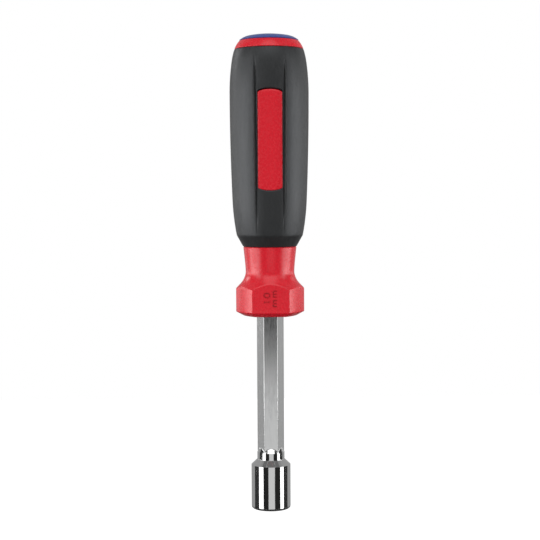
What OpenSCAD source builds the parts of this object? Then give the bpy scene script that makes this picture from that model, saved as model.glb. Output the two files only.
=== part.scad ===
// Nut driver: a hollow hex shank with a formed socket, held in a two-colour moulded handle.
// The tip points down. +Z runs from the mouth of the socket to the butt, and the front panel faces -Y.

/* [Socket] */
// Across-flats size of the nut that the socket turns
nut_af = 10; // [9:0.5:10.5]
// Play between the nut and the socket, across the flats
nut_play = 0.1; // [0.05:0.05:0.3]
// Outside diameter of the socket head
socket_d = 15.2; // [14.8:0.1:18]
// Length of the socket head, from its mouth to its shoulder
socket_len = 17.2; // [15.5:0.1:24]
// Slope of the shoulder behind the head, measured from the axis
shoulder_angle = 47; // [30:1:60]
// Depth of the hex recess in the mouth
hex_depth = 10.5; // [8:0.5:11]
// Radius on the outside edge of the mouth
mouth_round = 1; // [0.3:0.1:1.2]
// Depth of the bevel that leads a nut into the mouth
lead_in = 0.6; // [0.3:0.1:1]
// Thickness of the ring magnet behind the recess
magnet_t = 3; // [2:0.5:4]

/* [Shank] */
// Across-flats size of the hex shank
shank_af = 9; // [8.7:0.1:9.2]
// Bore for the stud that the nut sits on
bore_d = 7; // [6:0.1:7.2]
// Diameter of the round neck between the head and the hex
neck_d = 10.6; // [10.4:0.1:12]
// Length of the round neck
neck_len = 2.7; // [1:0.1:6]
// Length over which the neck runs out into the hex
runout_len = 1.8; // [1:0.1:5]
// Distance from the mouth to the front of the handle
reach = 75.2; // [50:0.1:180]
// Length of shank held inside the handle
anchor_len = 62; // [50:1:80]
// Number of grooves that key the shank into the handle
anchor_grooves = 3; // [1:1:3]
// Distance from one keying groove to the next
anchor_pitch = 12; // [6:1:14]
// Width of a keying groove
anchor_groove_w = 3; // [1.5:0.1:5]
// Diameter at the bottom of a keying groove
anchor_groove_d = 8.6; // [8.3:0.1:8.8]

/* [Bolster and neck] */
// Distance from the axis to the flats in line with the panels
panel_flat = 11.15; // [10.8:0.05:12.5]
// Width of those flats
flat_w = 14.1; // [12:0.1:15]
// Bulge of the rounded sides between the flats
side_bulge = 0.75; // [0.2:0.05:1.2]
// Length of the six-sided bolster, up to the foot of its flare
bolster_len = 10.6; // [8:0.1:20]
// Height of the bevel round the front of the bolster
bolster_bevel_h = 1.6; // [0.5:0.1:3]
// Depth of that bevel into the sides
bolster_bevel_in = 2.9; // [0.5:0.1:4]
// Length of the flare from the bolster to the waist
flare_len = 7.1; // [5.5:0.1:12]
// Slope of the flare where it leaves the bolster, measured from the axis
flare_angle = 45; // [40:1:60]
// Diameter of the waist
waist_d = 18.6; // [17:0.1:20]
// Length of the neck from the waist to the grip
neck_taper_len = 8.9; // [4:0.1:15]

/* [Grip] */
// Length of the soft grip
grip_len = 75.4; // [65:0.1:110]
// Greatest diameter of the grip, across its lobes
grip_d = 30.3; // [29:0.1:34]
// Diameter of the grip at its front, flush with the neck
grip_front_d = 20.5; // [19.8:0.1:22]
// Thickness of the grip at its front lip
grip_lip = 1.6; // [1:0.1:2]
// Thickness of the grip where it is widest
grip_wall = 3.95; // [3.5:0.05:5]
// Width of the floor of a panel at its front end
panel_w = 10.6; // [9.8:0.1:11]
// Widening of that floor towards its rear end
panel_taper = 1.1; // [0:0.1:2]
// Slope of the walls of a panel, measured from its middle plane
panel_wall_angle = 24; // [20:1:60]
// Width of the window in a panel
window_w = 9.4; // [5:0.1:9.6]
// Length of the window in a panel
window_len = 38; // [20:0.5:44]
// Bow of the ends of a window
window_bow = 1; // [0.4:0.1:2]
// Radius in the corners of a window
window_round = 0.8; // [0.3:0.1:1.5]

/* [Core and cap] */
// Length of the cone at the front of the core, under the grip
core_cone_len = 4.9; // [3:0.1:6]
// Depth of the pads of the core below the floors of the panels
pad_inset = 0.25; // [0:0.05:0.5]
// Depth of the ring grooves that lock the grip to the core
lock_depth = 0.8; // [0.3:0.1:1.2]
// Width of those ring grooves
lock_w = 2.5; // [1:0.1:3]
// Length of the butt ring between the grip and the cap
ring_len = 3.2; // [2.5:0.1:6]
// Overhang of the end cap past its spigot
cap_lip = 2.5; // [1.5:0.1:3.5]
// Height of the crown of the cap
cap_crown = 2.6; // [1.5:0.1:5]
// Height of the upright rim of the cap
cap_rim = 0.3; // [0.1:0.1:0.8]
// Wall of the core round the spigot that plugs the cap into it
core_wall = 2.35; // [1.8:0.05:3]
// Length of the spigot
spigot_len = 6; // [4:0.5:10]
// Wall of the spigot
spigot_wall = 1.6; // [1:0.1:2.5]
// Height of the snap bead round the spigot
bead_h = 0.25; // [0.1:0.05:0.4]

/* [Hidden] */
$fn = 96;
arc_steps = 12;
corner_steps = 6;
// Every cut runs this far past the face that it leaves
overrun = 1;

// Clearances between mating pieces
magnet_pass = 0.1;
magnet_gap = 0.02;
magnet_relief = 0.2;
mould_gap = 0.02;
plug_gap = 0.05;
plug_relief = 0.3;

// Socket and shank
socket_af = nut_af + nut_play;
socket_r = socket_d / 2;
neck_r = neck_d / 2;
shank_r = shank_af / 2;
shank_corner_share = 0.995;
shank_corner_r = shank_r / cos(30) * shank_corner_share;
neck_z = socket_len + (socket_r - neck_r) / tan(shoulder_angle);
runout_z = neck_z + neck_len;
// The runout cone goes on below the flats, down to this share of their distance from the axis
runout_end_share = 0.92;
runout_end_r = shank_r * runout_end_share;
runout_end_z = runout_z + runout_len * (neck_r - runout_end_r) / (neck_r - shank_r);
edge_break = 0.3;
magnet_od = socket_af - 2 * magnet_pass;
magnet_id = bore_d + 2 * magnet_relief;
seat_z = hex_depth + magnet_t;
shank_end = reach + anchor_len;
anchor_setback = 6;
anchor_groove_z = [for (i = [0:anchor_grooves - 1])
    shank_end - anchor_setback - anchor_groove_w - i * anchor_pitch];

// Stations along the handle
flare_z = reach + bolster_len;
waist_z = flare_z + flare_len;
grip_z = waist_z + neck_taper_len;
ring_z = grip_z + grip_len;
butt_z = ring_z + ring_len;

// Bolster: flats in line with the panels, and between them sides that bulge as arcs from edge to edge
panel_count = 3;
panel_turn = 360 / panel_count;
waist_r = waist_d / 2;
bolster_corner_r = norm([panel_flat, flat_w / 2]);
side_turn = panel_turn / 2 - atan(flat_w / 2 / panel_flat);
side_half_w = bolster_corner_r * sin(side_turn);
side_arc_r = (pow(side_half_w, 2) + pow(side_bulge, 2)) / (2 * side_bulge);
side_arc_x = bolster_corner_r * cos(side_turn) + side_bulge - side_arc_r;
// Height of the bevel on the rounded sides, as a share of its height on the flats
side_bevel_share = 0.9;
flare_rise = bolster_corner_r - waist_r;
flare_arc_r = (flare_len - flare_rise / tan(flare_angle)) / tan(flare_angle / 2);

// Grip outline: shares of the length behind the front lip, and of the greatest diameter
nose_share = 0.0584;
shoulder_share = 0.2354;
widest_share = 0.7788;
haunch_share = 0.9386;
nose_d_share = 0.84;
shoulder_d_share = 0.943;
haunch_d_share = 0.944;
ring_d_share = 0.873;
grip_front = [grip_front_d / 2, grip_z];
nose = [grip_d / 2 * nose_d_share, grip_z + grip_len * nose_share];
shoulder = [grip_d / 2 * shoulder_d_share, grip_z + grip_len * shoulder_share];
widest = [grip_d / 2, grip_z + grip_len * widest_share];
haunch = [grip_d / 2 * haunch_d_share, grip_z + grip_len * haunch_share];
ring_edge = [grip_d / 2 * ring_d_share, ring_z];
nose_round = 0.6;

// Panels: their floors follow the chord of the barrel between two stations
panel_front_share = 0.1108;
panel_rear_share = 0.9383;
window_mid_share = 0.5364;
panel_front_z = grip_z + grip_len * panel_front_share;
panel_rear_z = grip_z + grip_len * panel_rear_share;
window_mid_z = grip_z + grip_len * window_mid_share;

// Core under the grip
core_r = grip_d / 2 - grip_wall;
core_front_r = grip_front[0] - grip_lip;
core_cone_z = grip_z + core_cone_len;
lock_shares = [0.13, 0.19, 0.86, 0.92];

// Cap and its seat
spigot_r = core_r - core_wall - plug_gap;
cap_r = spigot_r + cap_lip;
butt_edge = [cap_r, butt_z];
dome_r_share = 0.72;
dome_drop_share = 0.34;
ledge_w = 1.3;
cavity_r = spigot_r - ledge_w;
seat_ledge_z = butt_z - spigot_len - plug_relief;
bead_share = 0.6;
bead_z = butt_z - spigot_len * bead_share;
bead_half_w = 2 * bead_h;

// Direction of a vector, in degrees
function heading(v) = atan2(v[1], v[0]);
// Direction in which the arc that leaves p along h arrives at q
function arrival(p, h, q) = 2 * heading(q - p) - h;
// Points after p on the circular arc that leaves p along h and ends at q
function arc_to(p, h, q) =
    let (turn = 2 * (heading(q - p) - h), r = norm(q - p) / (2 * sin(turn / 2)))
    [for (i = [1:arc_steps]) let (a = h + turn * i / arc_steps) p + r * [sin(a) - sin(h), cos(h) - cos(a)]];
// Points that round the corner at p, between a and b, with radius r
function corner(a, p, b, r) =
    let (u = (a - p) / norm(a - p), v = (b - p) / norm(b - p), half = acos(u * v) / 2,
         start = p + u * r / tan(half), centre = p + (u + v) / norm(u + v) * r / sin(half),
         side = sign(u[0] * v[1] - u[1] * v[0]), first = heading(start - centre))
    [for (i = [0:corner_steps]) let (t = first - side * (180 - 2 * half) * i / corner_steps)
        centre + r * [cos(t), sin(t)]];
// A closed outline with every corner rounded to radius r
function rounded(points, r) =
    let (n = len(points))
    [for (i = [0:n - 1]) each corner(points[(i + n - 1) % n], points[i], points[(i + 1) % n], r)];
function reversed(points) = [for (i = [len(points) - 1:-1:0]) points[i]];

// Grip outline from the widest point to the front lip, as arcs that flow into each other
shoulder_heading = arrival(widest, -90, shoulder);
front_run = concat(arc_to(widest, -90, shoulder), arc_to(shoulder, shoulder_heading, nose));
nose_corner = corner(front_run[len(front_run) - 2], nose, grip_front, nose_round);
front_outline = concat([for (p = front_run) if (p[1] > nose_corner[0][1]) p], nose_corner, [grip_front]);
// Grip and butt outline from the widest point to the cap
haunch_heading = arrival(widest, 90, haunch);
ring_heading = arrival(haunch, haunch_heading, ring_edge);
rear_outline = concat(arc_to(widest, 90, haunch), arc_to(haunch, haunch_heading, ring_edge));
ring_outline = arc_to(ring_edge, ring_heading, butt_edge);
grip_outline = concat(reversed(front_outline), [widest], rear_outline);

// Floor of the panels
barrel_table = [for (p = grip_outline) [p[1], p[0]]];
floor_front_r = lookup(panel_front_z, barrel_table);
floor_rear_r = lookup(panel_rear_z, barrel_table);
floor_slope = (floor_rear_r - floor_front_r) / (panel_rear_z - panel_front_z);
floor_edge_depth = sqrt(pow(floor_front_r, 2) - pow(panel_w / 2, 2));

module revolve(points) {
    rotate_extrude() polygon(points);
}

module ring(inner_r, outer_r, z, h) {
    revolve([[inner_r, z], [outer_r, z], [outer_r, z + h], [inner_r, z + h]]);
}

module each_panel() {
    for (i = [0:panel_count - 1]) rotate(i * panel_turn) children();
}

module hex_bar(across_flats, z, h) {
    translate([0, 0, z]) cylinder(r = across_flats / 2 / cos(30), h = h, $fn = 6);
}

// Hex shank with its keying grooves, grown all round by gap
module shank_bar(gap, end_z) {
    difference() {
        intersection() {
            hex_bar(shank_af + 2 * gap, neck_z, end_z - neck_z);
            translate([0, 0, neck_z]) cylinder(r = shank_corner_r + gap, h = end_z - neck_z);
        }
        for (z = anchor_groove_z)
            ring(anchor_groove_d / 2 + gap, neck_r + overrun, z + gap, anchor_groove_w - 2 * gap);
    }
}

module socket_shaft() {
    mouth = [[0, 0], [socket_r, 0], [socket_r, socket_len]];
    shoulder_top = [neck_r, neck_z];
    neck_top = [neck_r, runout_z];
    color("silver") difference() {
        union() {
            revolve(concat(
                [mouth[0]],
                corner(mouth[0], mouth[1], mouth[2], mouth_round),
                corner(mouth[1], mouth[2], shoulder_top, edge_break),
                corner(mouth[2], shoulder_top, neck_top, edge_break),
                [neck_top, [runout_end_r, runout_end_z], [0, runout_end_z]]
            ));
            shank_bar(0, shank_end);
        }
        hex_bar(socket_af, -overrun, hex_depth + overrun);
        lead_r = socket_af / 2 / cos(30) + edge_break;
        revolve([[0, -overrun], [lead_r + overrun, -overrun], [lead_r - lead_in, lead_in], [0, lead_in]]);
        cylinder(r = magnet_od / 2 + magnet_gap, h = seat_z);
        cylinder(d = bore_d, h = shank_end + overrun);
    }
}

module ring_magnet() {
    color("dimgray") translate([0, 0, hex_depth]) difference() {
        revolve(rounded([[0, 0], [magnet_od / 2, 0], [magnet_od / 2, magnet_t], [0, magnet_t]], edge_break));
        translate([0, 0, -overrun]) cylinder(d = magnet_id, h = magnet_t + 2 * overrun);
    }
}

// Upright outline of a window, in the plane of its panel
module window(gap) {
    half_w = window_w / 2 - gap;
    half_len = window_len / 2 - gap;
    side = half_len - window_bow;
    bow_heading = 2 * atan(window_bow / half_w);
    end_arc = concat([[-half_w, side]], arc_to([-half_w, side], bow_heading, [half_w, side]));
    start_arc = concat([[half_w, -side]], arc_to([half_w, -side], 180 + bow_heading, [-half_w, -side]));
    translate([0, window_mid_z]) intersection() {
        polygon(concat(reversed(end_arc), reversed(start_arc)));
        polygon(rounded([[-half_w, -half_len], [half_w, -half_len], [half_w, half_len], [-half_w, half_len]],
            window_round + window_bow));
    }
}

// Window of the front panel, run out from the axis past the grip
module window_prism(gap) {
    rotate([90, 0, 0]) linear_extrude(height = grip_d / 2 + overrun) window(gap);
}

// Solid under the floors of the panels, lowered by inset
module floor_body(inset) {
    front_z = panel_front_z - overrun;
    rear_z = panel_rear_z + overrun;
    revolve([
        [0, front_z],
        [floor_front_r - inset - overrun * floor_slope, front_z],
        [floor_rear_r - inset + overrun * floor_slope, rear_z],
        [0, rear_z]
    ]);
}

// What lies inside one wall of the front panel
module wall_side() {
    half_w = panel_w / 2;
    rise = grip_d / 2 - floor_edge_depth + overrun;
    spread = rise * tan(panel_wall_angle);
    length = panel_rear_z - panel_front_z;
    translate([0, -floor_edge_depth, panel_front_z])
        rotate([atan(floor_slope), atan(panel_taper / 2 / length), 0])
            translate([0, 0, -overrun]) linear_extrude(height = length + 2 * overrun)
                polygon([[-panel_w, half_w], [half_w, half_w], [half_w, 0], [half_w + spread, -rise],
                    [-panel_w, -rise]]);
}

// What is taken out of the barrel at the front panel
module panel_cut() {
    difference() {
        intersection() {
            wall_side();
            mirror([1, 0, 0]) wall_side();
        }
        floor_body(0);
    }
}

// Outline of the core under the grip, with its lock grooves, grown by gap
function under_grip(gap) = concat(
    [[core_front_r + gap, grip_z], [core_r + gap, core_cone_z]],
    [for (s = lock_shares) let (z = grip_z + s * grip_len, low = z - lock_w / 2 + gap, high = z + lock_w / 2 - gap)
        each [[core_r + gap, low], [core_r - lock_depth + gap, low],
            [core_r - lock_depth + gap, high], [core_r + gap, high]]],
    [[core_r + gap, ring_z]]
);

// Outline of the bolster's blank and its flare, from the front to the waist
blank_r = bolster_corner_r + overrun;
flare_outline = let (centre = [waist_r + flare_arc_r, waist_z]) concat(
    [[blank_r, reach], [blank_r, flare_z - overrun / tan(flare_angle)]],
    [for (i = [0:arc_steps]) let (a = 180 + flare_angle * (1 - i / arc_steps))
        centre + flare_arc_r * [cos(a), sin(a)]]
);

// Upright bar with the bolster's flats and rounded sides
module bolster_bar(z, h) {
    translate([0, 0, z]) intersection() {
        rotate(90) cylinder(r = panel_flat / cos(panel_turn / 2), h = h, $fn = panel_count);
        intersection_for(i = [0:panel_count - 1]) rotate(90 + i * panel_turn)
            translate([side_arc_x, 0, 0]) cylinder(r = side_arc_r, h = h);
    }
}

// Outline of the cut for a bevel of height h, from the side that it starts on
function bevel(h) =
    let (slope = h / bolster_bevel_in)
    [[overrun, h + overrun * slope], [-bolster_bevel_in - overrun, -overrun * slope], [overrun, -overrun * slope]];

// Everything outside the sides of the bolster, and the bevel round its front
module bolster_cut() {
    far = blank_r + overrun;
    side_bevel = bevel(bolster_bevel_h * side_bevel_share);
    difference() {
        translate([0, 0, reach - overrun]) cylinder(r = far, h = waist_z - reach + overrun);
        bolster_bar(reach - 2 * overrun, waist_z - reach + 3 * overrun);
    }
    each_panel() {
        rotate(-90) translate([panel_flat, 0, reach]) rotate([90, 0, 0])
            linear_extrude(height = 2 * far, center = true) polygon(bevel(bolster_bevel_h));
        rotate(90) translate([side_arc_x, 0, reach]) revolve([for (p = side_bevel) p + [side_arc_r, 0]]);
    }
}

module handle_core() {
    color("crimson") difference() {
        union() {
            difference() {
                revolve(concat(
                    [[0, reach]], flare_outline,
                    [grip_front], under_grip(0), [ring_edge], ring_outline, [[0, butt_z]]
                ));
                bolster_cut();
            }
            each_panel() intersection() {
                window_prism(mould_gap);
                floor_body(pad_inset);
            }
        }
        shank_bar(mould_gap, shank_end + overrun);
        translate([0, 0, shank_end]) cylinder(r = cavity_r, h = butt_z - shank_end);
        bore_r = spigot_r + plug_gap;
        revolve([
            [0, seat_ledge_z], [bore_r, seat_ledge_z], [bore_r, bead_z - bead_half_w],
            [bore_r + bead_h, bead_z], [bore_r, bead_z + bead_half_w],
            [bore_r, butt_z + overrun], [0, butt_z + overrun]
        ]);
    }
}

module grip_sleeve() {
    color("#343636") difference() {
        revolve(concat([[0, grip_z]], grip_outline, [[0, ring_z]]));
        each_panel() panel_cut();
        each_panel() window_prism(0);
        core_outline = under_grip(mould_gap);
        last = core_outline[len(core_outline) - 1];
        revolve(concat(
            [[0, grip_z - overrun], [core_outline[0][0], grip_z - overrun]], core_outline,
            [[last[0], ring_z + overrun], [0, ring_z + overrun]]
        ));
    }
}

module end_cap() {
    apex = [0, butt_z + cap_crown];
    dome_edge = [cap_r * dome_r_share, butt_z + cap_crown * (1 - dome_drop_share)];
    rim = [cap_r, butt_z + cap_rim];
    inner_r = spigot_r - spigot_wall;
    color("royalblue") revolve(concat(
        [apex], arc_to(apex, 0, dome_edge), arc_to(dome_edge, arrival(apex, 0, dome_edge), rim),
        [[cap_r, butt_z], [spigot_r, butt_z], [spigot_r, bead_z + bead_half_w], [spigot_r + bead_h, bead_z],
            [spigot_r, bead_z - bead_half_w], [spigot_r, butt_z - spigot_len],
            [inner_r, butt_z - spigot_len], [inner_r, butt_z], [0, butt_z]]
    ));
}

socket_shaft();
ring_magnet();
handle_core();
grip_sleeve();
end_cap();
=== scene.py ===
"""Looks of a hand nut driver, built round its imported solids.

The tip points down, +Z runs from the socket's mouth to the butt, and the front panel faces -Y.
The part's sizes are in millimetres, as on the solids, and turn into metres where a mesh is made.
The stage is in metres and degrees.
"""

import math

import bmesh
import bpy
import numpy as np
from mathutils import Matrix, Quaternion, Vector


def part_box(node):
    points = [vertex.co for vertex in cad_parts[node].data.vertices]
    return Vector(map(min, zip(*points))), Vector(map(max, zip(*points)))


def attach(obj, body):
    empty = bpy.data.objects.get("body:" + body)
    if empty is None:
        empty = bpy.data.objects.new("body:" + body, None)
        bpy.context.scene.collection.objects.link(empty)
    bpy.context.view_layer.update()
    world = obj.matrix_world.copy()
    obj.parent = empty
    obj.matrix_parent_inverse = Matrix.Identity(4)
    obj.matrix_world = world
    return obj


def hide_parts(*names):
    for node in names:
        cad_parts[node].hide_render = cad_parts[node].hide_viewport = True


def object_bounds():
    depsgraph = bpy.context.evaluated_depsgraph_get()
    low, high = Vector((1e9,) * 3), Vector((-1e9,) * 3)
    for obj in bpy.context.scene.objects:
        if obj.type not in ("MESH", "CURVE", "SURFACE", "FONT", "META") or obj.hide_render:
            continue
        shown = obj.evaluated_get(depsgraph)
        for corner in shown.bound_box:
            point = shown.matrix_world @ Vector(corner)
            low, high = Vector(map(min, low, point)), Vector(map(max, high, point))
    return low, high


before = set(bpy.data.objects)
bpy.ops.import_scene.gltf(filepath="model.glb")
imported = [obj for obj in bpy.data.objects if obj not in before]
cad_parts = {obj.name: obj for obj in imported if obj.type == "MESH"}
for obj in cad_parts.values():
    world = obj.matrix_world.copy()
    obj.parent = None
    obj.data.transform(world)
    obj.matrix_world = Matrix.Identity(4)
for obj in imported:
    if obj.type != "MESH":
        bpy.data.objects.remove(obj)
cad_low, cad_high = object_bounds()

MM = 0.001
MIDDLE = (cad_low + cad_high) / 2


def span(node):
    """Lowest and highest place of a solid along the axis, in millimetres."""
    low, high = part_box(node)
    return low.z / MM, high.z / MM


# Stations along the axis, from the solids
_, SHANK_END = span("socket_shaft")
BOLSTER_Z, BUTT_Z = span("handle_core")
GRIP_Z, RING_Z = span("grip_sleeve")
SPIGOT_Z, TOP_Z = span("end_cap")
HEX_DEPTH, SEAT_Z = span("ring_magnet")
GRIP_LEN = RING_Z - GRIP_Z

# Socket and shank
HEX_SIDES = 6
HEX_TURN = math.tau / HEX_SIDES
SOCKET_R = 7.6
SOCKET_LEN = 17.2
SOCKET_APOTHEM = 5.05
SHOULDER_ANGLE = math.radians(47)
MOUTH_ROUND = 1.0
LEAD_R = 6.13
LEAD_DEPTH = 1.25
MAGNET_SEAT_R = 4.97
BORE_R = 3.5
NECK_R = 5.3
NECK_LEN = 2.7
NECK_FILLET = 0.08
RUNOUT_LEN = 1.8
RUNOUT_END_SHARE = 0.92
RUNOUT_EDGE = 0.01
SHANK_APOTHEM = 4.5
SHANK_EDGE = 0.06
NECK_Z = SOCKET_LEN + (SOCKET_R - NECK_R) / math.tan(SHOULDER_ANGLE)
RUNOUT_Z = NECK_Z + NECK_LEN
RUNOUT_SLOPE = (NECK_R - SHANK_APOTHEM) / RUNOUT_LEN
RUNOUT_END_Z = RUNOUT_Z + (NECK_R - SHANK_APOTHEM * RUNOUT_END_SHARE) / RUNOUT_SLOPE

# Bolster and neck
FLAT_APOTHEM = 11.15
FLAT_W = 14.1
CORNER_R = math.hypot(FLAT_APOTHEM, FLAT_W / 2)
CORNER_TURN = math.atan2(FLAT_W / 2, FLAT_APOTHEM)
SIDE_BULGE = 0.75
BOLSTER_LEN = 10.6
BOLSTER_EDGE = 0.2
BEVEL_H = 1.6
BEVEL_IN = 2.9
BEVEL_RUN = 1.0
BEVEL_ROUND = 0.45
FLARE_LEN = 7.1
FLARE_ANGLE = math.radians(45)
FLARE_EDGE = 0.35
WAIST_R = 9.3
WAIST_BLEND = 0.4

# Grip
GRIP_R = 15.15
GRIP_FRONT_R = 10.25
NOSE_SHARE, NOSE_R_SHARE = 0.0584, 0.84
SHOULDER_SHARE, SHOULDER_R_SHARE = 0.2354, 0.943
WIDEST_SHARE = 0.7788
HAUNCH_SHARE, HAUNCH_R_SHARE = 0.9386, 0.944
RING_R_SHARE = 0.873
NOSE_ROUND = 0.6
SEAM_ROUND = 0.25

# Panels of the grip, and the windows in them
PANEL_COUNT = 3
PANEL_TURN = math.tau / PANEL_COUNT
FRONT_PANEL = -math.pi / 2
PATCH_HALF_TURN = math.radians(36)
PANEL_FRONT_SHARE, PANEL_REAR_SHARE = 0.1108, 0.9383
PANEL_FRONT_Z = GRIP_Z + GRIP_LEN * PANEL_FRONT_SHARE
PANEL_REAR_Z = GRIP_Z + GRIP_LEN * PANEL_REAR_SHARE
PANEL_FRONT_HALF_W, PANEL_REAR_HALF_W = 5.3, 5.85
PANEL_WALL_SLOPE = math.tan(math.radians(24))
PANEL_SHOULDER = 0.7
PANEL_FOOT = 0.2
GROOVE_HALF_W = 0.22
GROOVE_DEPTH = 0.15
WINDOW_MID_SHARE = 0.5364
WINDOW_Z = GRIP_Z + GRIP_LEN * WINDOW_MID_SHARE
WINDOW_HALF_W = 4.7
WINDOW_HALF_LEN = 19.0
WINDOW_BOW = 1.0
WINDOW_CORNER = 1.8
WINDOW_BLEND = 0.3
WINDOW_LIP = 0.25
WINDOW_END_LIP_SHARE = 2.5
WINDOW_TOP_GAP = 0.4
WINDOW_CUT_RISE = 4.0
SPINE_HALF_LEN = WINDOW_HALF_LEN - WINDOW_HALF_W

# Core under the grip, and the cap in the butt
CORE_R = 11.2
CORE_FRONT_R = 8.65
CORE_CONE_LEN = 4.9
MOULD_GAP = 0.02
PAD_INSET = 0.25
PAD_EDGE = 0.25
PAD_ROOT_R = 9.5
SPIGOT_R = 8.8
SPIGOT_WALL = 1.6
PLUG_GAP = 0.05
LEDGE_W = 1.3
LEDGE_GAP = 0.3
LEDGE_Z = SPIGOT_Z - LEDGE_GAP
CAP_R = 11.3
CAP_RIM = 0.3
DOME_R_SHARE = 0.72
DOME_DROP_SHARE = 0.3

# Size mark, cut into the front flat of the bolster, read upwards
MARK_DEPTH = 0.6
MARK_BOLD = 0.02
MARK_RISE = 7.2
MARK_Z = BOLSTER_Z + MARK_RISE
# Words, size, place across the flat, spacing of the letters, and their widening
MARK_LINES = [("10", 3.7, -1.3, 1.05, 1.3), ("mm", 3.2, 1.3, 1.25, 1.25)]
UPWARDS = Matrix(((0, -1, 0, 0), (0, 0, -1, 0), (1, 0, 0, 0), (0, 0, 0, 1)))

# Fineness and limits of the meshes
ARC_STEPS = 16
FILLET_STEPS = 5
SECTOR_STEPS = 24
ROUND_STEPS = 144
LEAD_RINGS = 12
RUNOUT_RINGS = 150
FLARE_RINGS = 120
GRIP_ROWS = 170
LOBE_STEPS = 16
FLOOR_SHARES = np.array([0, 0.2, 0.4, 0.6, 0.8, 0.92])
GROOVE_STEPS = 4
WALL_STEPS = 4
SHOULDER_STEPS = 5
BESIDE_STEPS = 5
WINDOW_SIDE_STEPS = 72
WINDOW_END_STEPS = 32
PAD_RINGS = 6
LETTER_STEPS = 4
CARD_STEPS = 12
STRAIGHT_RUN = 1.0
STRAIGHT_END = 0.06
LEAST_COSINE = 0.1
WELD = 1e-7
SHARP_ANGLE = math.radians(22)


# Curves

def smooth_min(a, b, width):
    """The smaller of two values, with the crease between them rounded over width."""
    near = np.maximum(width - np.abs(a - b), 0) / width
    return np.minimum(a, b) - near * near * width / 4


def smooth_max(a, b, width):
    return -smooth_min(-a, -b, width)


def heading(vector):
    return math.atan2(vector[1], vector[0])


def arrival(begin, departure, end):
    """Heading at which the arc that leaves begin at the departure heading arrives at end."""
    return 2 * heading(np.subtract(end, begin)) - departure


def arc_to(begin, departure, end):
    """Points after begin on the circular arc that leaves it at the departure heading and ends at end."""
    chord = np.subtract(end, begin)
    turn = 2 * (heading(chord) - departure)
    radius = np.hypot(*chord) / (2 * math.sin(turn / 2))
    angles = departure + turn * np.arange(1, ARC_STEPS + 1) / ARC_STEPS
    across = np.sin(angles) - math.sin(departure)
    along = math.cos(departure) - np.cos(angles)
    return begin + radius * np.column_stack([across, along])


def fillet(before, corner, after, radius):
    """Points that round the corner between its two neighbours."""
    back = (before - corner) / np.linalg.norm(before - corner)
    ahead = (after - corner) / np.linalg.norm(after - corner)
    half = math.acos(np.clip(back @ ahead, -1, 1)) / 2
    reach = radius / math.tan(half)
    centre = corner + (back + ahead) / np.linalg.norm(back + ahead) * radius / math.sin(half)
    first = corner + back * reach - centre
    last = corner + ahead * reach - centre
    share = np.linspace(0, 1, FILLET_STEPS + 1)[:, None]
    spread = math.pi - 2 * half
    swing = first * np.sin((1 - share) * spread) + last * np.sin(share * spread)
    return centre + swing / math.sin(spread)


def rounded(points, radii):
    """An open outline with each inner corner rounded to its own radius, where zero keeps it sharp."""
    points = [np.asarray(point, float) for point in points]
    outline = [points[0][None]]
    for before, corner, after, radius in zip(points, points[1:], points[2:], radii):
        outline.append(fillet(before, corner, after, radius) if radius else corner[None])
    outline.append(points[-1][None])
    return np.vstack(outline)


def held(outline):
    """Adds points near both ends of every straight run, which keep the shading flat along it."""
    points = [outline[0]]
    for a, b in zip(outline, outline[1:]):
        run = np.linalg.norm(b - a)
        if run > STRAIGHT_RUN:
            points.append(a + (b - a) * STRAIGHT_END / run)
            points.append(b - (b - a) * STRAIGHT_END / run)
        points.append(b)
    return np.array(points)


def sector_angles(corners):
    """Angles round the axis that crowd towards the given corners, in radians."""
    ends = list(corners[1:]) + [corners[0] + math.tau]
    crowd = np.sin(math.pi / 2 * np.linspace(-1, 1, SECTOR_STEPS + 1)[:-1])
    return np.concatenate([(a + b) / 2 + (b - a) / 2 * crowd for a, b in zip(corners, ends)])


def hexagon_radius(theta, apothem, edge):
    """Distance from the axis to the flats of a hex bar with rounded edges."""
    middles = [HEX_TURN / 2 + k * HEX_TURN for k in range(HEX_SIDES)]
    faces = [apothem / np.maximum(np.cos(theta - middle), LEAST_COSINE) for middle in middles]
    nearest = np.sort(faces, axis=0)
    return smooth_min(nearest[0], nearest[1], edge)


# Meshes

class Shape:
    """Points and faces of one piece, gathered block by block."""

    def __init__(self):
        self.points = []
        self.faces = []
        self.count = 0

    def add(self, points):
        """Adds a block of points and gives their numbers in the block's own layout."""
        points = np.asarray(points, float)
        numbers = self.count + np.arange(points[..., 0].size).reshape(points.shape[:-1])
        self.points.append(points.reshape(-1, 3))
        self.count += numbers.size
        return numbers

    def bridge(self, a, b):
        """Faces between two closed loops of as many points."""
        quads = np.column_stack([a, np.roll(a, -1), np.roll(b, -1), b])
        self.faces.extend(map(tuple, quads.tolist()))

    def loft(self, rings, closed=True):
        """Faces through a run of rings, and from the last back to the first where it is closed."""
        loops = [self.add(points) for points in rings]
        followers = loops[1:] + (loops[:1] if closed else [])
        for a, b in zip(loops, followers):
            self.bridge(a, b)

    def sheet(self, rows):
        """Faces over a grid of points."""
        numbers = self.add(rows)
        corners = [numbers[:-1, :-1], numbers[:-1, 1:], numbers[1:, 1:], numbers[1:, :-1]]
        self.faces.extend(zip(*(corner.ravel().tolist() for corner in corners)))

    def mesh(self, name):
        mesh = bpy.data.meshes.new(name)
        mesh.from_pydata((np.vstack(self.points) * MM).tolist(), [], self.faces)
        tidy(mesh)
        return mesh


def lofted(rings, closed=True):
    shape = Shape()
    shape.loft(rings, closed)
    return shape


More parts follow.
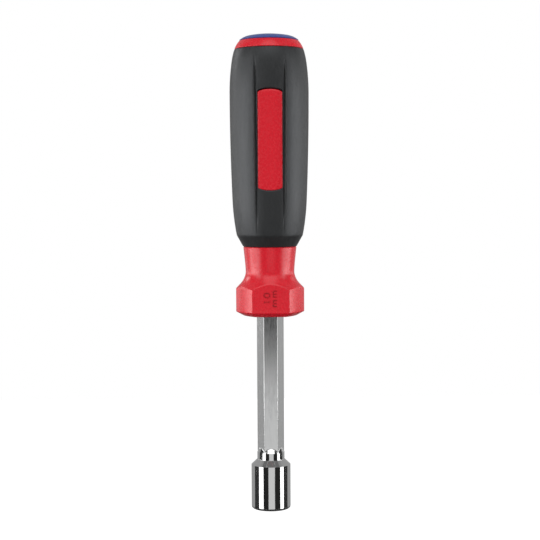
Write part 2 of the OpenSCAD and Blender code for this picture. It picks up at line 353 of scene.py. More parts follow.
def tidy(mesh):
    """Welds doubled points, drops loose ones, turns all faces outwards and marks the sharp edges."""
    work = bmesh.new()
    work.from_mesh(mesh)
    bmesh.ops.remove_doubles(work, verts=work.verts, dist=WELD)
    bmesh.ops.delete(work, geom=[v for v in work.verts if not v.link_faces], context="VERTS")
    bmesh.ops.recalc_face_normals(work, faces=work.faces)
    work.to_mesh(mesh)
    work.free()
    mesh.shade_smooth()
    mesh.set_sharp_from_angle(angle=SHARP_ANGLE)


def place(name, data):
    """Puts an object made of a mesh, a curve, a lamp or a camera into the scene."""
    thing = bpy.data.objects.new(name, data)
    bpy.context.scene.collection.objects.link(thing)
    return thing


def ring(theta, radius, z):
    radius = np.broadcast_to(radius, theta.shape)
    heights = np.broadcast_to(z, theta.shape)
    return np.column_stack([radius * np.cos(theta), radius * np.sin(theta), heights])


def evaluated_mesh(thing):
    """The mesh of an object with its modifiers, or of a curve or text."""
    return bpy.data.meshes.new_from_object(thing.evaluated_get(bpy.context.evaluated_depsgraph_get()))


def combine(piece, tool, operation):
    """Adds a tool's solid to a piece, or cuts it out, and removes the tool."""
    modifier = piece.modifiers.new("combine", "BOOLEAN")
    modifier.operation = operation
    modifier.object = tool
    modifier.solver = "MANIFOLD"
    piece.data = evaluated_mesh(piece)
    piece.modifiers.clear()
    bpy.data.objects.remove(tool)
    tidy(piece.data)


# Shank with its socket

def shank_shape():
    theta = sector_angles([k * HEX_TURN for k in range(HEX_SIDES)])
    outside = held(rounded(
        [(LEAD_R, 0), (SOCKET_R, 0), (SOCKET_R, SOCKET_LEN), (NECK_R, NECK_Z), (NECK_R, RUNOUT_Z)],
        [MOUTH_ROUND, 0, NECK_FILLET],
    ))
    inside = [
        (BORE_R, SHANK_END), (BORE_R, SEAT_Z), (MAGNET_SEAT_R, SEAT_Z), (MAGNET_SEAT_R, HEX_DEPTH),
    ]
    bar = hexagon_radius(theta, SHANK_APOTHEM, SHANK_EDGE)
    recess = hexagon_radius(theta, SOCKET_APOTHEM, SHANK_EDGE)
    rings = [ring(theta, r, z) for r, z in outside[1:-1]]
    for z in np.linspace(RUNOUT_Z, RUNOUT_END_Z, RUNOUT_RINGS):
        cone = NECK_R - (z - RUNOUT_Z) * RUNOUT_SLOPE
        rings.append(ring(theta, smooth_max(bar, cone, RUNOUT_EDGE), z))
    rings.append(ring(theta, bar, SHANK_END))
    rings.extend(ring(theta, r, z) for r, z in inside)
    rings.append(ring(theta, recess, HEX_DEPTH))
    for z in np.linspace(LEAD_DEPTH, 0, LEAD_RINGS):
        rings.append(ring(theta, smooth_max(recess, LEAD_R - z, SHANK_EDGE), z))
    return lofted(rings)


# Outline of the grip, and of the butt ring that carries it on

def barrel_outline():
    """Grip's outline from its front lip to the butt ring, as arcs that flow on, and its last heading."""
    def at(length_share, radius_share):
        return np.array([GRIP_R * radius_share, GRIP_Z + GRIP_LEN * length_share])

    front = np.array([GRIP_FRONT_R, GRIP_Z])
    nose = at(NOSE_SHARE, NOSE_R_SHARE)
    shoulder = at(SHOULDER_SHARE, SHOULDER_R_SHARE)
    widest = at(WIDEST_SHARE, 1)
    haunch = at(HAUNCH_SHARE, HAUNCH_R_SHARE)
    ring_edge = at(1, RING_R_SHARE)
    down, up = -math.pi / 2, math.pi / 2
    shoulder_heading = arrival(widest, down, shoulder)
    run = np.vstack([arc_to(widest, down, shoulder), arc_to(shoulder, shoulder_heading, nose)])
    bend = fillet(run[-2], nose, front, NOSE_ROUND)
    run = np.vstack([run[run[:, 1] > bend[0][1]], bend, front])
    haunch_heading = arrival(widest, up, haunch)
    rear = np.vstack([arc_to(widest, up, haunch), arc_to(haunch, haunch_heading, ring_edge)])
    return np.vstack([run[::-1], widest, rear]), arrival(haunch, haunch_heading, ring_edge)


BARREL, RING_HEADING = barrel_outline()


def barrel_radius(z):
    return np.interp(z, BARREL[:, 1], BARREL[:, 0])


def butt_outline():
    """Butt ring's outline from the grip to the cap, as one arc that carries on the grip's own."""
    ring_edge = np.array([GRIP_R * RING_R_SHARE, RING_Z])
    return [ring_edge, *arc_to(ring_edge, RING_HEADING, (CAP_R, BUTT_Z))]


# Core: bolster, neck and butt ring

def bolster_radius(theta, offset):
    """Distance from the axis to the bolster's flats and rounded sides, grown by offset."""
    half_turn = math.pi / PANEL_COUNT - CORNER_TURN
    half_w = CORNER_R * math.sin(half_turn)
    arc_r = (half_w**2 + SIDE_BULGE**2) / (2 * SIDE_BULGE)
    arc_x = CORNER_R * math.cos(half_turn) + SIDE_BULGE - arc_r
    faces = []
    for panel in range(PANEL_COUNT):
        away = theta - FRONT_PANEL - panel * PANEL_TURN
        faces.append((FLAT_APOTHEM + offset) / np.maximum(np.cos(away), LEAST_COSINE))
        along = away - math.pi / PANEL_COUNT
        reach = np.sqrt((arc_r + offset) ** 2 - (arc_x * np.sin(along)) ** 2)
        faces.append(arc_x * np.cos(along) + reach)
    nearest = np.sort(faces, axis=0)
    return smooth_min(nearest[0], nearest[1], BOLSTER_EDGE)


def neck_radius(z):
    """Flare behind the bolster, which runs into the tapered neck."""
    waist_z = BOLSTER_Z + BOLSTER_LEN + FLARE_LEN
    rise = CORNER_R - WAIST_R
    arc_r = (FLARE_LEN - rise / math.tan(FLARE_ANGLE)) / math.tan(FLARE_ANGLE / 2)
    arc_len = arc_r * math.sin(FLARE_ANGLE)
    below = np.clip(waist_z - z, 0, arc_len)
    arc = WAIST_R + arc_r - np.sqrt(arc_r**2 - below**2)
    flare = arc + np.maximum(waist_z - arc_len - z, 0) * math.tan(FLARE_ANGLE)
    taper = WAIST_R + (z - waist_z) * (GRIP_FRONT_R - WAIST_R) / (GRIP_Z - waist_z)
    return smooth_max(flare, taper, WAIST_BLEND)


def core_shape():
    corners = []
    for panel in range(PANEL_COUNT):
        middle = FRONT_PANEL + panel * PANEL_TURN
        corners.extend([middle - CORNER_TURN, middle + CORNER_TURN])
    theta = sector_angles(corners)
    pocket = hexagon_radius(theta, SHANK_APOTHEM, SHANK_EDGE) + MOULD_GAP
    flats = bolster_radius(theta, 0)
    # The bevel's points are offsets from the flats, and places along the axis
    bevel = rounded(
        [
            (-BEVEL_IN - BEVEL_RUN, BOLSTER_Z), (-BEVEL_IN, BOLSTER_Z),
            (0, BOLSTER_Z + BEVEL_H), (0, BOLSTER_Z + 2 * BEVEL_H),
        ],
        [BEVEL_ROUND, BEVEL_ROUND],
    )
    butt = butt_outline()
    outline = [
        (GRIP_FRONT_R - SEAM_ROUND, GRIP_Z), (CORE_FRONT_R, GRIP_Z), (CORE_R, GRIP_Z + CORE_CONE_LEN),
        (CORE_R, RING_Z), (butt[0][0], RING_Z), *butt[1:],
        (SPIGOT_R + PLUG_GAP, BUTT_Z), (SPIGOT_R + PLUG_GAP, LEDGE_Z),
        (SPIGOT_R - LEDGE_W, LEDGE_Z), (SPIGOT_R - LEDGE_W, SHANK_END),
    ]
    seams = [0, 0, 0, SEAM_ROUND, *[0] * (len(butt) - 2), SEAM_ROUND, 0, 0, 0]
    rings = [ring(theta, pocket, BOLSTER_Z)]
    rings.extend(ring(theta, bolster_radius(theta, offset), z) for offset, z in bevel)
    for z in np.linspace(bevel[-1][1], GRIP_Z - SEAM_ROUND, FLARE_RINGS)[1:]:
        rings.append(ring(theta, smooth_min(flats, neck_radius(z), FLARE_EDGE), z))
    rings.extend(ring(theta, r, z) for r, z in rounded(outline, seams))
    rings.append(ring(theta, pocket, SHANK_END))
    return lofted(rings)


# Grip

FLOOR_FRONT_R = barrel_radius(PANEL_FRONT_Z)
FLOOR_SLOPE = (barrel_radius(PANEL_REAR_Z) - FLOOR_FRONT_R) / (PANEL_REAR_Z - PANEL_FRONT_Z)


def floor_radius(z):
    """Floor of the panels, which follows the chord of the barrel between their two ends."""
    return FLOOR_FRONT_R + FLOOR_SLOPE * (z - PANEL_FRONT_Z)


def panel_half_w(z):
    """Half the width of a panel's floor, which widens towards the butt."""
    share = (z - PANEL_FRONT_Z) / (PANEL_REAR_Z - PANEL_FRONT_Z)
    return PANEL_FRONT_HALF_W + (PANEL_REAR_HALF_W - PANEL_FRONT_HALF_W) * share


def panel_step(z):
    """Height of a panel's walls, at the edge of its floor."""
    half_w = panel_half_w(z)
    return np.sqrt(barrel_radius(z) ** 2 - half_w**2) - np.sqrt(floor_radius(z) ** 2 - half_w**2)


def panel_height(x, z):
    """Distance of the grip's surface from the axis plane of a panel, x being the place across it."""
    half_w = panel_half_w(z)
    barrel = np.sqrt(barrel_radius(z) ** 2 - x**2)
    groove = np.maximum(1 - np.abs(np.abs(x) - half_w + GROOVE_HALF_W) / GROOVE_HALF_W, 0)
    depth = np.clip(panel_step(z), 0, GROOVE_DEPTH)
    floor = np.sqrt(floor_radius(z) ** 2 - x**2) - depth * groove
    foot = np.sqrt(floor_radius(z) ** 2 - half_w**2)
    wall = foot + (np.abs(x) - half_w) / PANEL_WALL_SLOPE
    return smooth_min(barrel, smooth_max(floor, wall, PANEL_FOOT), PANEL_SHOULDER)


def panel_columns(z, radius):
    """Places across a panel for one row: floor, groove, wall, shoulder and the lobe beside it."""
    half_w = panel_half_w(z)
    groove = half_w - 2 * GROOVE_HALF_W
    top = half_w + max(panel_step(z), PANEL_FOOT) * PANEL_WALL_SLOPE
    shoulder = top + PANEL_SHOULDER
    edge = radius * math.sin(PATCH_HALF_TURN)
    side = np.concatenate([
        groove * FLOOR_SHARES,
        np.linspace(groove, half_w, GROOVE_STEPS, endpoint=False),
        np.linspace(half_w, top, WALL_STEPS, endpoint=False),
        np.linspace(top, shoulder, SHOULDER_STEPS, endpoint=False),
        np.linspace(shoulder, edge, BESIDE_STEPS, endpoint=False),
    ])
    return np.concatenate([[-edge], -side[:0:-1], side])


def turned(x, y, z, panel):
    """Points of a panel, given across, outwards and along, in the part's frame."""
    angle = FRONT_PANEL + panel * PANEL_TURN
    cosine, sine = math.cos(angle), math.sin(angle)
    return np.stack([y * cosine - x * sine, y * sine + x * cosine, np.broadcast_to(z, x.shape)], axis=-1)


def lip_radius(z):
    """Barrel's radius, drawn in at its two ends where the seams are rounded."""
    ends = (z <= GRIP_Z) | (z >= RING_Z)
    return barrel_radius(z) - np.where(ends, SEAM_ROUND, 0)


def core_radius(z):
    """Inside of the grip, which lies on the core."""
    share = np.clip((z - GRIP_Z) / CORE_CONE_LEN, 0, 1)
    return CORE_FRONT_R + (CORE_R - CORE_FRONT_R) * share + MOULD_GAP


def grip_ring(z):
    """One row of points round the outside of the grip."""
    radius = lip_radius(z)
    turn = np.linspace(PATCH_HALF_TURN, PANEL_TURN - PATCH_HALF_TURN, LOBE_STEPS + 1)[:-1]
    x = panel_columns(z, radius)
    y = np.minimum(panel_height(x, z), np.sqrt(radius**2 - x**2))
    blocks = []
    for panel in range(PANEL_COUNT):
        blocks.append(turned(x, y, z, panel))
        blocks.append(turned(radius * np.sin(turn), radius * np.cos(turn), z, panel))
    return np.concatenate(blocks)


def grip_shape():
    rows = np.linspace(GRIP_Z + SEAM_ROUND, RING_Z - SEAM_ROUND, GRIP_ROWS)
    levels = np.concatenate([[GRIP_Z], rows, [RING_Z]])
    outside = [grip_ring(z) for z in levels]
    inside = []
    for points, z in zip(outside[::-1], levels[::-1]):
        inside.append(ring(np.arctan2(points[:, 1], points[:, 0]), core_radius(z), z))
    return lofted(outside + inside)


# Windows, and the pads of the core that fill them

def window_loop(offset):
    """Outline of a window, across and along, grown by offset: up one side, over the end and down."""
    bow_r = (WINDOW_HALF_W**2 + WINDOW_BOW**2) / (2 * WINDOW_BOW)
    x = WINDOW_HALF_W * np.cos(np.linspace(0, math.pi, WINDOW_END_STEPS + 1))
    bow = WINDOW_HALF_LEN - bow_r + np.sqrt(bow_r**2 - x**2)
    past = np.maximum(np.abs(x) - (WINDOW_HALF_W - WINDOW_CORNER), 0)
    corner = WINDOW_HALF_LEN - WINDOW_CORNER + np.sqrt(np.maximum(WINDOW_CORNER**2 - past**2, 0))
    end = np.column_stack([x, smooth_min(bow, corner, WINDOW_BLEND)])
    rise = np.linspace(-end[0, 1], end[0, 1], WINDOW_SIDE_STEPS + 1)
    side = np.column_stack([np.full(WINDOW_SIDE_STEPS, WINDOW_HALF_W), rise[:-1]])
    half = np.vstack([side, end[:-1]])
    loop = np.vstack([half, -half])
    along = np.roll(loop, -1, axis=0) - np.roll(loop, 1, axis=0)
    normal = np.column_stack([along[:, 1], -along[:, 0]]) / np.linalg.norm(along, axis=1)[:, None]
    return loop + normal * offset * (1, WINDOW_END_LIP_SHARE) + (0, WINDOW_Z)


def window_solid(panel, levels, top_gap=0):
    """A closed solid over a window, of loops grown by an offset at a rise over the panel's floor."""
    def outline(offset):
        loop = window_loop(offset)
        gaps = np.where(loop[:, 1] > WINDOW_Z, top_gap, 0)
        return loop + np.column_stack([np.zeros(len(loop)), gaps])

    def raised(loop, rise):
        x, z = loop[:, 0], loop[:, 1]
        return turned(x, np.sqrt(floor_radius(z) ** 2 - x**2) + rise, z, panel)

    root = outline(levels[0][0])
    rim = outline(levels[-1][0])
    spine_z = np.clip(rim[:, 1], WINDOW_Z - SPINE_HALF_LEN, WINDOW_Z + SPINE_HALF_LEN)
    spine = np.column_stack([np.zeros(len(rim)), spine_z])
    rings = [
        turned(spine[:, 0], np.full(len(rim), PAD_ROOT_R), spine[:, 1], panel),
        turned(root[:, 0], np.sqrt(PAD_ROOT_R**2 - root[:, 0] ** 2), root[:, 1], panel),
    ]
    rings.extend(raised(outline(offset), rise) for offset, rise in levels)
    for share in np.linspace(0, 1, PAD_RINGS + 1)[1:]:
        rings.append(raised(rim + (spine - rim) * share, levels[-1][1]))
    return lofted(rings, closed=False)


BENDS = np.linspace(0, math.pi / 2, FILLET_STEPS + 1)


def pad_shape(panel):
    """One of the core's pads, which fills a window from below with a softly rounded edge."""
    offsets = -MOULD_GAP - PAD_EDGE * (1 - np.cos(BENDS))
    rises = -PAD_INSET - PAD_EDGE * (1 - np.sin(BENDS))
    return window_solid(panel, list(zip(offsets, rises)))


def window_cut(panel):
    """What is cut out of the grip at a window, with a rounded lip where it meets the floor."""
    bends = BENDS[:0:-1]
    levels = list(zip(WINDOW_LIP * (1 - np.sin(bends)), -WINDOW_LIP * (1 - np.cos(bends))))
    levels.append((levels[-1][0], WINDOW_CUT_RISE))
    return window_solid(panel, levels, WINDOW_TOP_GAP)


# Cap

def cap_shape():
    crown = TOP_Z - BUTT_Z
    apex = np.array([0, TOP_Z])
    dome_edge = np.array([CAP_R * DOME_R_SHARE, BUTT_Z + crown * (1 - DOME_DROP_SHARE)])
    rim = np.array([CAP_R, BUTT_Z + CAP_RIM])
    inner_r = SPIGOT_R - SPIGOT_WALL
    outline = [
        apex, *arc_to(apex, 0, dome_edge), *arc_to(dome_edge, arrival(apex, 0, dome_edge), rim),
        (CAP_R - CAP_RIM, BUTT_Z), (SPIGOT_R, BUTT_Z), (SPIGOT_R, SPIGOT_Z), (inner_r, SPIGOT_Z),
        (inner_r, BUTT_Z), (0, BUTT_Z),
    ]
    theta = np.linspace(0, math.tau, ROUND_STEPS, endpoint=False)
    return lofted([ring(theta, r, z) for r, z in outline], closed=False)


# Size mark

def text_solid(words, size, spacing):
    """A closed solid of some words, lying in the XY plane with its middle at the origin."""
    curve = bpy.data.curves.new("words", "FONT")
    curve.body = words
    curve.size = size * MM
    curve.extrude = MARK_DEPTH * MM
    curve.space_character = spacing
    curve.offset = MARK_BOLD * MM
    curve.align_x = "CENTER"
    curve.align_y = "CENTER"
    curve.resolution_u = LETTER_STEPS
    writing = place("words", curve)
    mesh = evaluated_mesh(writing)
    bpy.data.objects.remove(writing)
    return mesh


def cut_mark(piece):
    for words, size, across, spacing, widening in MARK_LINES:
        mesh = text_solid(words, size, spacing)
        mesh.transform(Matrix.Diagonal((widening, 1, 1, 1)))
        mesh.transform(Matrix.Translation(Vector((across, -FLAT_APOTHEM, MARK_Z)) * MM) @ UPWARDS)
        tidy(mesh)
        combine(piece, place("mark", mesh), "DIFFERENCE")


# Materials: each colour has a dark and a light shade, and each roughness a low and a high value

RED_DARK, RED_LIGHT = (0.63, 0.003, 0.0145), (0.69, 0.006, 0.0195)
RED_ROUGHNESS = (0.24, 0.3)
BLUE_DARK, BLUE_LIGHT = (0.04, 0.07, 0.265), (0.05, 0.088, 0.32)
BLUE_ROUGHNESS = (0.28, 0.34)
PLASTIC_SPECULAR = 0.6
RUBBER_DARK, RUBBER_LIGHT = (0.0135, 0.0142, 0.0142), (0.0185, 0.0192, 0.0195)
RUBBER_ROUGHNESS = (0.4, 0.5)
RUBBER_SPECULAR = 0.62
RUBBER_SHINE = (0.93, 0.96, 1, 1)
NICKEL_DARK, NICKEL_LIGHT = (0.42, 0.42, 0.41), (0.56, 0.56, 0.55)
NICKEL_ROUGHNESS = (0.25, 0.4)
CHROME_DARK, CHROME_LIGHT = (0.72, 0.73, 0.73), (0.82, 0.82, 0.82)
# Roughness of the chrome at places along the tool, and what wear adds to it
POLISHED, SATIN, DULL = 0.05, 0.09, 0.13
ZONE_BLEND = 0.1
CHROME_ZONES = [
    (SOCKET_LEN - ZONE_BLEND, POLISHED), (SOCKET_LEN + ZONE_BLEND, SATIN),
    (NECK_Z - ZONE_BLEND, SATIN), (NECK_Z + ZONE_BLEND, POLISHED),
    (RUNOUT_Z + RUNOUT_LEN / 2, POLISHED), (RUNOUT_END_Z, DULL),
]
CHROME_ZONES_END = 40.0
CHROME_WEAR = (-0.02, 0.04)
NOISE_RANGE = (0.3, 0.7)


def grey(level):
    return (level, level, level, 1)


class Nodes:
    """A material's node tree, with short calls to set its shader, and to add and link nodes."""

    def __init__(self, name):
        self.material = bpy.data.materials.new(name)
        self.material.use_nodes = True
        self.tree = self.material.node_tree
        self.shader = self.tree.nodes["Principled BSDF"]
        self.position = self.add("ShaderNodeTexCoord").outputs["Object"]

    def set(self, socket, value):
        self.shader.inputs[socket].default_value = value

    def add(self, kind, **inputs):
        """Adds a node with some of its inputs set, an underscore standing for a space in their names."""
        node = self.tree.nodes.new(kind)
        for key, value in inputs.items():
            node.inputs[key.replace("_", " ")].default_value = value
        return node

    def link(self, output, socket):
        self.tree.links.new(output, socket)

    def noise(self, scale, detail=3, stretch=(1, 1, 1)):
        """Noise with features of 1/scale metres, drawn out along an axis where stretch is under 1."""
        mapping = self.add("ShaderNodeMapping", Scale=stretch)
        self.link(self.position, mapping.inputs["Vector"])
        noise = self.add("ShaderNodeTexNoise", Scale=scale, Detail=detail)
        self.link(mapping.outputs["Vector"], noise.inputs["Vector"])
        return noise.outputs["Fac"]

    def spread(self, value, low, high, clip=NOISE_RANGE):
        """Maps the values inside clip onto the range from low to high."""
        limits = {"From_Min": clip[0], "From_Max": clip[1], "To_Min": low, "To_Max": high}
        node = self.add("ShaderNodeMapRange", **limits)
        self.link(value, node.inputs["Value"])
        return node.outputs["Result"]

    def tint(self, factor, dark, light):
        """Mixes the base colour between two shades of it."""
        node = self.tree.nodes.new("ShaderNodeMix")
        node.data_type = "RGBA"
        node.inputs["A"].default_value = (*dark, 1)
        node.inputs["B"].default_value = (*light, 1)
        self.link(factor, node.inputs["Factor"])
        self.link(node.outputs["Result"], self.shader.inputs["Base Color"])

    def roughen(self, value):
        self.link(value, self.shader.inputs["Roughness"])

    def bump(self, height, strength, distance):
        node = self.add("ShaderNodeBump", Strength=strength, Distance=distance)
        self.link(height, node.inputs["Height"])
        self.link(node.outputs["Normal"], self.shader.inputs["Normal"])


def moulded_plastic(name, dark, light, roughness):
    """Hard plastic with a faint mottle, a soft gloss and the fine ripple of its mould."""
    nodes = Nodes(name)
    nodes.set("Specular IOR Level", PLASTIC_SPECULAR)
    nodes.tint(nodes.noise(scale=220, detail=4), dark, light)
    nodes.roughen(nodes.spread(nodes.noise(scale=900), *roughness))
    nodes.bump(nodes.noise(scale=6000, detail=2), strength=0.012, distance=0.1 * MM)
    return nodes.material


def soft_grip():
    """Matt rubbery overmould with a fine grain."""
    nodes = Nodes("soft_grip")
    nodes.set("Specular IOR Level", RUBBER_SPECULAR)
    nodes.set("Specular Tint", RUBBER_SHINE)
    nodes.tint(nodes.noise(scale=350, detail=5), RUBBER_DARK, RUBBER_LIGHT)
    nodes.roughen(nodes.spread(nodes.noise(scale=1200), *RUBBER_ROUGHNESS))
    nodes.bump(nodes.noise(scale=5200), strength=0.25, distance=0.12 * MM)
    return nodes.material


def chrome():
    """Chrome plate with fine lines along the tool, a satin shoulder and a duller hex."""
    nodes = Nodes("chrome_plate")
    nodes.set("Metallic", 1)
    lines = nodes.noise(scale=5000, stretch=(1, 1, 0.03))
    nodes.tint(lines, CHROME_DARK, CHROME_LIGHT)
    along = nodes.add("ShaderNodeSeparateXYZ")
    nodes.link(nodes.position, along.inputs["Vector"])
    zones = nodes.add("ShaderNodeValToRGB")
    stops = zones.color_ramp.elements
    for z, roughness in CHROME_ZONES:
        stops.new(z / CHROME_ZONES_END).color = grey(roughness)
    stops.remove(stops[0])
    stops.remove(stops[-1])
    nodes.link(nodes.spread(along.outputs["Z"], 0, 1, (0, CHROME_ZONES_END * MM)), zones.inputs["Fac"])
    wear = nodes.spread(nodes.noise(scale=1500, detail=4, stretch=(1, 1, 0.2)), *CHROME_WEAR)
    total = nodes.add("ShaderNodeMath")
    total.operation = "ADD"
    nodes.link(zones.outputs["Color"], total.inputs[0])
    nodes.link(wear, total.inputs[1])
    nodes.roughen(total.outputs["Value"])
    nodes.bump(lines, strength=0.12, distance=0.02 * MM)
    return nodes.material


def nickel():
    """Satin nickel on the magnet, with a fine mottle."""
    nodes = Nodes("satin_nickel")
    nodes.set("Metallic", 1)
    nodes.tint(nodes.noise(scale=2500), NICKEL_DARK, NICKEL_LIGHT)
    nodes.roughen(nodes.spread(nodes.noise(scale=1800), *NICKEL_ROUGHNESS))
    return nodes.material


# Stage: camera, floor, cards, lamps and world

CAMERA_DISTANCE = 0.5202
CAMERA_HEIGHT = 0.1227
CAMERA_LENS = 90
CAMERA_SENSOR = 36
CAMERA_AZIMUTH = -1.3
CAMERA_PITCH = 3.3
CAMERA_ROLL = -0.29
FLOOR_Z = -1.8
FLOOR_HALF = 12.0
FLOOR_COLOUR = 0.35
FLOOR_LIFT = 0.85
FLOOR_ROUGHNESS = 0.9
FILL = 0.8
# Soft boxes: azimuth from the camera's side, distance, width, height, and radiance
SOFT_BOXES = [
    ("soft_box_left", -61, 1.1, 0.5, 1.6, 3.0),
    ("soft_box_right", 67, 1.1, 0.44, 1.6, 3.0),
]
CARD_DISTANCE = 1.6
# Cards that only the reflections see: azimuth from the camera's side, elevation, and brightness
CARDS = [
    ("flag_front", (-24, 26), (-6.5, 22), 0.03),
    ("card_front_top", (-34, 34), (22, 45), 1.5),
    ("card_front_high", (-34, 34), (45, 74), 1.3),
    ("card_low_top", (-24, 26), (-7.5, -6.5), 0.06),
    ("card_low_upper", (-24, 26), (-8.5, -7.5), 0.26),
    ("card_low_middle", (-24, 26), (-9.5, -8.5), 0.46),
    ("card_low", (-16, 21), (-28, -9.5), 0.68),
    ("flag_low_left", (-24, -16), (-28, -9.5), 0.02),
    ("flag_low_right", (21, 26), (-28, -9.5), 0.02),
    ("flag_under", (-180, 180), (-89, -28), 0.04),
    ("flag_front_left", (-47, -24), (-28, 22), 0.02),
    ("flag_front_right", (26, 55), (-28, 22), 0.02),
    ("flag_upper_left", (-47, -34), (22, 45), 0.05),
    ("flag_upper_right", (34, 55), (22, 45), 0.05),
    ("card_left_low", (-76, -47), (-28, -8.5), 2.0),
    ("card_left_side", (-103, -76), (-11.6, -8.5), 7.0),
    ("card_left", (-88, -53), (-8.5, 10), 4.3),
    ("card_left_outer", (-103, -88), (-8.5, 10), 3.5),
    ("flag_left_inner", (-53, -47), (-8.5, 10), 0.05),
    ("card_left_upper", (-72, -47), (10, 34), 1.2),
    ("flag_left_high", (-72, -47), (34, 45), 0.1),
    ("flag_left_low", (-112, -76), (-28, -11.6), 0.03),
    ("card_left_edge", (-112, -103), (-11.6, 10), 1.6),
    ("flag_left_upper", (-112, -72), (10, 45), 0.05),
    ("card_right_low", (55, 78), (-28, -8.5), 2.0),
    ("card_right_side", (78, 102), (-11.6, -8.5), 7.0),
    ("card_right", (60, 88), (-8.5, 10), 4.0),
    ("card_right_outer", (88, 102), (-8.5, 10), 3.1),
    ("flag_right_inner", (55, 60), (-8.5, 10), 0.05),
    ("card_right_upper", (55, 76), (10, 34), 1.2),
    ("flag_right_high", (55, 76), (34, 45), 0.1),
    ("flag_right_low", (78, 112), (-28, -11.6), 0.03),
    ("card_right_edge", (102, 112), (-11.6, 10), 1.3),
    ("flag_right_upper", (76, 112), (10, 45), 0.05),
    ("flag_rear_bottom", (112, 248), (-28, -19), 0.1),
    ("card_rear_band", (112, 248), (-19, -12.8), 0.36),
    ("flag_rear_low_right", (112, 143), (-12.8, -2.5), 0.4),
    ("card_rear_right", (112, 134), (-2.5, 6.5), 1.6),
    ("flag_rear_right", (112, 134), (6.5, 16), 0.36),
    ("flag_rear_edge_right", (134, 143), (-2.5, 24), 0.4),
    ("card_rear_upper_right", (112, 134), (16, 24), 1.4),
    ("flag_rear_over_right", (112, 143), (24, 60), 0.36),
    ("flag_rear_side_right", (143, 166), (10, 60), 0.36),
    ("flag_rear_low", (143, 217), (-12.8, 10), 0.45),
    ("card_rear_top", (166, 194), (10, 25), 0.5),
    ("flag_rear", (166, 194), (25, 60), 0.36),
    ("flag_rear_side_left", (194, 217), (10, 60), 0.36),
    ("flag_rear_low_left", (231, 248), (-12.8, -2.5), 0.36),
    ("flag_rear_under_left", (217, 231), (-12.8, -11), 0.36),
    ("card_rear_low_left", (217, 231), (-11, -2.5), 1.0),
    ("card_rear_left", (226, 248), (-2.5, 6.5), 2.4),
    ("flag_rear_left", (226, 248), (6.5, 16), 0.36),
    ("flag_rear_edge_left", (217, 226), (-2.5, 24), 0.36),
    ("card_rear_upper_left", (226, 248), (16, 24), 4.6),
    ("flag_rear_over_left", (217, 248), (24, 60), 0.36),
    ("flag_over_left", (-112, -34), (45, 60), 0.3),
    ("flag_over_right", (34, 112), (45, 60), 0.3),
    ("card_top_left", (-180, -34), (60, 74), 0.165),
    ("card_top_right", (34, 180), (60, 74), 0.165),
    ("card_top", (-180, 180), (74, 89), 0.165),
]


def direction(azimuth, elevation):
    """Unit vector towards a place round the object; azimuth 0 is the camera's side."""
    turn, lift = math.radians(azimuth), math.radians(elevation)
    level = math.cos(lift)
    return Vector((math.sin(turn) * level, -math.cos(turn) * level, math.sin(lift)))


def add_camera():
    data = bpy.data.cameras.new("camera")
    data.lens = CAMERA_LENS
    data.sensor_width = CAMERA_SENSOR
    camera = place("camera", data)
    camera.location = direction(CAMERA_AZIMUTH, 0) * CAMERA_DISTANCE + Vector((0, 0, CAMERA_HEIGHT))
    look = -direction(CAMERA_AZIMUTH, CAMERA_PITCH)
    roll = Quaternion((0, 0, 1), math.radians(CAMERA_ROLL))
    camera.rotation_mode = "QUATERNION"
    camera.rotation_quaternion = look.to_track_quat("-Z", "Y") @ roll
    bpy.context.scene.camera = camera


def seen_as_background(tree):
    """One where the camera, a reflection or glass looks at the background, and zero for other light."""
    path = tree.nodes.new("ShaderNodeLightPath")
    total = path.outputs["Is Camera Ray"]
    for kind in ("Is Glossy Ray", "Is Transmission Ray"):
        larger = tree.nodes.new("ShaderNodeMath")
        larger.operation = "MAXIMUM"
        tree.links.new(total, larger.inputs[0])
        tree.links.new(path.outputs[kind], larger.inputs[1])
        total = larger.outputs["Value"]
    return total


def add_floor():
    """A wide pale floor, lifted to white for the camera, with the object's shadow left on it."""
    sides = (-FLOOR_HALF / MM, FLOOR_HALF / MM)
    shape = Shape()
    shape.sheet([[(x, y, FLOOR_Z / MM) for x in sides] for y in sides])
    floor = place("floor", shape.mesh("floor"))
    nodes = Nodes("pale_floor")
    nodes.set("Base Color", grey(FLOOR_COLOUR))
    nodes.set("Roughness", FLOOR_ROUGHNESS)
    nodes.set("Specular IOR Level", 0)
    nodes.set("Emission Color", grey(FLOOR_LIFT))
    nodes.link(seen_as_background(nodes.tree), nodes.shader.inputs["Emission Strength"])
    floor.data.materials.append(nodes.material)


def emitter(name, level):
    material = bpy.data.materials.new(name)
    material.use_nodes = True
    nodes = material.node_tree.nodes
    nodes.remove(nodes["Principled BSDF"])
    glow = nodes.new("ShaderNodeEmission")
    glow.inputs["Color"].default_value = grey(level)
    material.node_tree.links.new(glow.outputs["Emission"], nodes["Material Output"].inputs["Surface"])
    return material


def add_cards():
    for name, azimuths, elevations, level in CARDS:
        columns = np.linspace(*azimuths, CARD_STEPS + 1)
        rows = []
        for elevation in np.linspace(*elevations, CARD_STEPS + 1):
            rows.append([MIDDLE + direction(azimuth, elevation) * CARD_DISTANCE for azimuth in columns])
        shape = Shape()
        shape.sheet(np.array(rows) / MM)
        card = place(name, shape.mesh(name))
        card.data.materials.append(emitter(name, level))
        card.visible_camera = False
        card.visible_diffuse = False
        card.visible_shadow = False
        card.visible_transmission = False


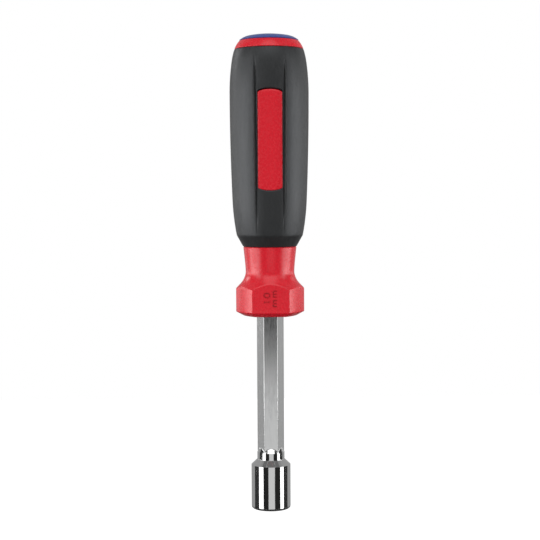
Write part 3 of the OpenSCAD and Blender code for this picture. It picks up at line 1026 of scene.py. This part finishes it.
def add_soft_boxes():
    for name, azimuth, distance, width, height, radiance in SOFT_BOXES:
        lamp = bpy.data.lights.new(name, "AREA")
        lamp.shape = "RECTANGLE"
        lamp.size = width
        lamp.size_y = height
        lamp.energy = radiance * math.pi * width * height
        box = place(name, lamp)
        towards = direction(azimuth, 0)
        box.location = MIDDLE + towards * distance
        box.rotation_euler = towards.to_track_quat("Z", "Y").to_euler()
        box.visible_camera = False
        box.visible_glossy = False


def add_world():
    """A white background, with a dimmer fill for the light that falls on the object."""
    world = bpy.data.worlds.new("studio")
    bpy.context.scene.world = world
    world.use_nodes = True
    tree = world.node_tree
    fill = tree.nodes["Background"]
    fill.inputs["Color"].default_value = grey(FILL)
    white = tree.nodes.new("ShaderNodeBackground")
    white.inputs["Color"].default_value = grey(1)
    mix = tree.nodes.new("ShaderNodeMixShader")
    tree.links.new(seen_as_background(tree), mix.inputs["Fac"])
    tree.links.new(fill.outputs["Background"], mix.inputs[1])
    tree.links.new(white.outputs["Background"], mix.inputs[2])
    tree.links.new(mix.outputs["Shader"], tree.nodes["World Output"].inputs["Surface"])


# The part

def paint(piece, material):
    """Gives a piece its material."""
    piece.data.materials.clear()
    piece.data.materials.append(material)


def dress(piece, material, node):
    """Gives a piece its body and its material, and hides the solid that it stands for."""
    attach(piece, "root")
    paint(piece, material)
    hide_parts(node)


shank = place("hex_shank", shank_shape().mesh("hex_shank"))
dress(shank, chrome(), "socket_shaft")

core = place("red_core", core_shape().mesh("red_core"))
for panel in range(PANEL_COUNT):
    combine(core, place("pad", pad_shape(panel).mesh("pad")), "UNION")
cut_mark(core)
red = moulded_plastic("red_plastic", RED_DARK, RED_LIGHT, RED_ROUGHNESS)
dress(core, red, "handle_core")

grip = place("soft_grip", grip_shape().mesh("soft_grip"))
for panel in range(PANEL_COUNT):
    combine(grip, place("window", window_cut(panel).mesh("window")), "DIFFERENCE")
dress(grip, soft_grip(), "grip_sleeve")

cap = place("butt_cap", cap_shape().mesh("butt_cap"))
blue = moulded_plastic("blue_plastic", BLUE_DARK, BLUE_LIGHT, BLUE_ROUGHNESS)
dress(cap, blue, "end_cap")

paint(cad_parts["ring_magnet"], nickel())

add_camera()
add_floor()
add_cards()
add_soft_boxes()
add_world()
bpy.context.scene.view_settings.view_transform = "Standard"
